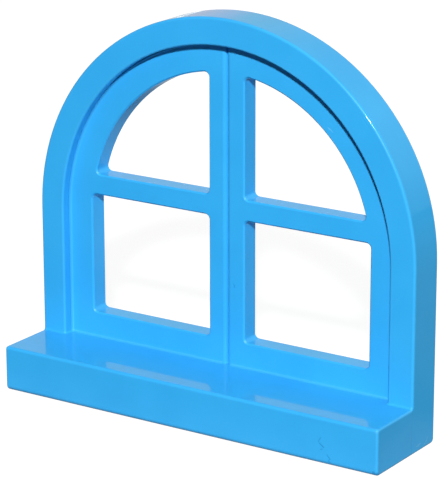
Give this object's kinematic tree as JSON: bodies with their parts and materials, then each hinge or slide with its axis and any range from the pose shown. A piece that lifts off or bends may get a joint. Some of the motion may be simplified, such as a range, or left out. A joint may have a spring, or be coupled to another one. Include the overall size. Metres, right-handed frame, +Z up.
{
  "type": "toy arched window frame",
  "caption": "Toy window of glossy blue plastic: an arched frame on a deep sill, with open casement lights and glazing bars.",
  "frame": {"origin": "middle of the sill's underside", "axes": "+X across the window to the viewer's right, +Y from the sill's front to the back, +Z up"},
  "size_m": [0.0638, 0.016, 0.0582],
  "materials": {
    "blue_plastic": "gloss"
  },
  "bodies": {
    "root": {"arched_frame": "blue_plastic", "left_casement": "blue_plastic", "right_casement": "blue_plastic"}
  },
  "joints": []
}
